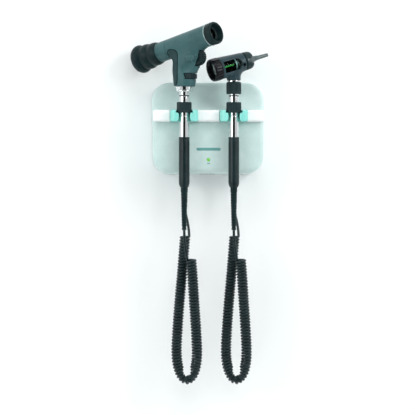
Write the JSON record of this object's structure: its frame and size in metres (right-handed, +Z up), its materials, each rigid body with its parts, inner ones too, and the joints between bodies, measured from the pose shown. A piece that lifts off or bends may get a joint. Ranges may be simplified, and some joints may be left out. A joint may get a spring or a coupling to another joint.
{
  "type": "wall-mounted otoscope and ophthalmoscope set",
  "caption": "Wall station with cradles holding a corded otoscope and a corded ophthalmoscope, each with a dimmer ring, a focusing head and a curly cord to the station.",
  "frame": {"origin": "on the wall, at the centre of the four wall screws and of the station's back", "axes": "+Y into the wall, +Z up, +X to the viewer's right, so the station stands out towards -Y"},
  "size_m": [0.2331, 0.1422, 0.6116],
  "materials": {
    "shell_white": "fine satin moulding",
    "plate_grey": "matt moulding",
    "rail_white": "smooth gloss",
    "cradle_cyan": "smooth gloss",
    "dark_window": "infrared window",
    "green_light": "lit lens",
    "steel": "zinc plated",
    "copper": "enamelled copper wire",
    "board_green": "coated board",
    "black_plastic": "fine texture",
    "black_rubber": "matt rubber",
    "chrome": "polished",
    "ivory_plastic": "insulator",
    "brass": "polished",
    "slate_plastic": "fine texture",
    "lens_glass": "coated lens",
    "fibre_white": "fibre ends",
    "speculum_grey": "smooth"
  },
  "bodies": {
    "station": {"wall_plate": "plate_grey", "station_cover": "shell_white", "cover_screws": "steel", "cradle_rail": "rail_white", "oto_cradle": "cradle_cyan", "pan_cradle": "cradle_cyan", "cradle_sensors": "dark_window", "power_lens": "green_light", "transformer_core": "steel", "transformer_winding": "copper", "circuit_board": "board_green", "mains_inlet": "black_plastic", "inlet_pins": "steel", "oto_gland": "black_rubber", "pan_gland": "black_rubber", "oto_cord_coil": "black_rubber", "oto_cord_tail": "black_rubber", "pan_cord_coil": "black_rubber", "pan_cord_tail": "black_rubber"},
    "oto_handle": {"oto_tube": "chrome", "oto_insulator": "ivory_plastic", "oto_contact": "brass", "oto_grip": "black_rubber", "oto_relief": "black_rubber", "oto_cord_lead": "black_rubber"},
    "oto_dimmer": {"oto_dimmer": "black_plastic"},
    "oto_head": {"oto_base": "chrome", "oto_lamp": "brass", "oto_housing": "slate_plastic", "oto_windows": "lens_glass", "oto_fibre_ring": "fibre_white", "oto_port": "black_rubber"},
    "oto_lock_collar": {"oto_lock_collar": "black_plastic"},
    "oto_focus": {"oto_focus_ring": "black_rubber", "oto_eye_lens": "lens_glass"},
    "oto_carriage": {"oto_carriage": "black_plastic", "oto_front_lens": "lens_glass"},
    "oto_tip": {"oto_tip_grip": "black_plastic"},
    "oto_speculum": {"oto_speculum": "speculum_grey"},
    "pan_handle": {"pan_tube": "chrome", "pan_insulator": "ivory_plastic", "pan_contact": "brass", "pan_grip": "black_rubber", "pan_relief": "black_rubber", "pan_cord_lead": "black_rubber"},
    "pan_dimmer": {"pan_dimmer": "black_plastic"},
    "pan_head": {"pan_socket": "steel", "pan_lamp": "brass", "pan_shell_left": "slate_plastic", "pan_shell_right": "slate_plastic", "pan_front_panel": "black_rubber", "pan_nose": "slate_plastic", "pan_boot": "black_rubber", "pan_optics": "black_plastic", "pan_wheel_pins": "steel", "pan_eyecup": "black_rubber"},
    "pan_lock_ring": {"pan_lock_ring": "chrome"},
    "pan_eyecup_rim": {"pan_eyecup_rim": "black_rubber"},
    "pan_focus_wheel": {"pan_focus_wheel": "black_rubber"},
    "pan_aperture_dial": {"pan_aperture_dial": "black_plastic"}
  },
  "joints": [
    {"name": "oto_handle_pull", "type": "slide", "parent": "station", "child": "oto_handle", "axis": [0, -0.9397, 0.342], "range_m": [0, 0.06]},
    {"name": "oto_dimmer_turn", "type": "hinge", "parent": "oto_handle", "child": "oto_dimmer", "pos_m": [0.042, -0.084, 0.034], "axis": [0, 0, 1], "range_deg": [0, 100]},
    {"name": "oto_head_pull", "type": "slide", "parent": "oto_handle", "child": "oto_head", "axis": [0, 0, 1], "range_m": [0, 0.008]},
    {"name": "oto_lock_turn", "type": "hinge", "parent": "oto_head", "child": "oto_lock_collar", "pos_m": [0.042, -0.084, 0.067], "axis": [0, 0, 1], "range_deg": [0, 25]},
    {"name": "oto_focus_turn", "type": "hinge", "parent": "oto_head", "child": "oto_focus", "pos_m": [0.042, -0.084, 0.107], "axis": [0.8935, 0.361, 0.2672], "range_deg": [-60, 60]},
    {"name": "oto_carriage_slide", "type": "slide", "parent": "oto_head", "child": "oto_carriage", "axis": [0.8935, 0.361, 0.2672], "range_m": [-0.0031, 0.0031]},
    {"name": "oto_tip_turn", "type": "hinge", "parent": "oto_head", "child": "oto_tip", "pos_m": [0.042, -0.084, 0.107], "axis": [0.8935, 0.361, 0.2672], "range_deg": [-20, 20]},
    {"name": "oto_speculum_pull", "type": "slide", "parent": "oto_tip", "child": "oto_speculum", "axis": [0.8935, 0.361, 0.2672], "range_m": [0, 0.025]},
    {"name": "pan_handle_pull", "type": "slide", "parent": "station", "child": "pan_handle", "axis": [0, -0.9397, 0.342], "range_m": [0, 0.06]},
    {"name": "pan_dimmer_turn", "type": "hinge", "parent": "pan_handle", "child": "pan_dimmer", "pos_m": [-0.042, -0.084, 0.034], "axis": [0, 0, 1], "range_deg": [0, 100]},
    {"name": "pan_head_pull", "type": "slide", "parent": "pan_handle", "child": "pan_head", "axis": [0, 0, 1], "range_m": [0, 0.008]},
    {"name": "pan_lock_turn", "type": "hinge", "parent": "pan_head", "child": "pan_lock_ring", "pos_m": [-0.042, -0.084, 0.065], "axis": [0, 0, 1], "range_deg": [0, 25]},
    {"name": "pan_focus_turn", "type": "hinge", "parent": "pan_head", "child": "pan_focus_wheel", "pos_m": [-0.01902, -0.10328, 0.118], "axis": [0.6428, 0.766, 0], "range_deg": [-150, 150]},
    {"name": "pan_aperture_turn", "type": "hinge", "parent": "pan_head", "child": "pan_aperture_dial", "pos_m": [-0.03403, -0.09069, 0.0865], "axis": [0, 0, 1], "range_deg": [-144, 144]},
    {"name": "pan_eyecup_press", "type": "slide", "parent": "pan_head", "child": "pan_eyecup_rim", "axis": [0.7433, -0.6237, 0.2419], "range_m": [0, 0.012], "stiffness_N_per_m": 250, "deforming": ["pan_eyecup"]}
  ],
  "couplings": [
    {"joint": "oto_carriage_slide", "follows": "oto_focus_turn", "m_per_rad": 0.002865}
  ]
}
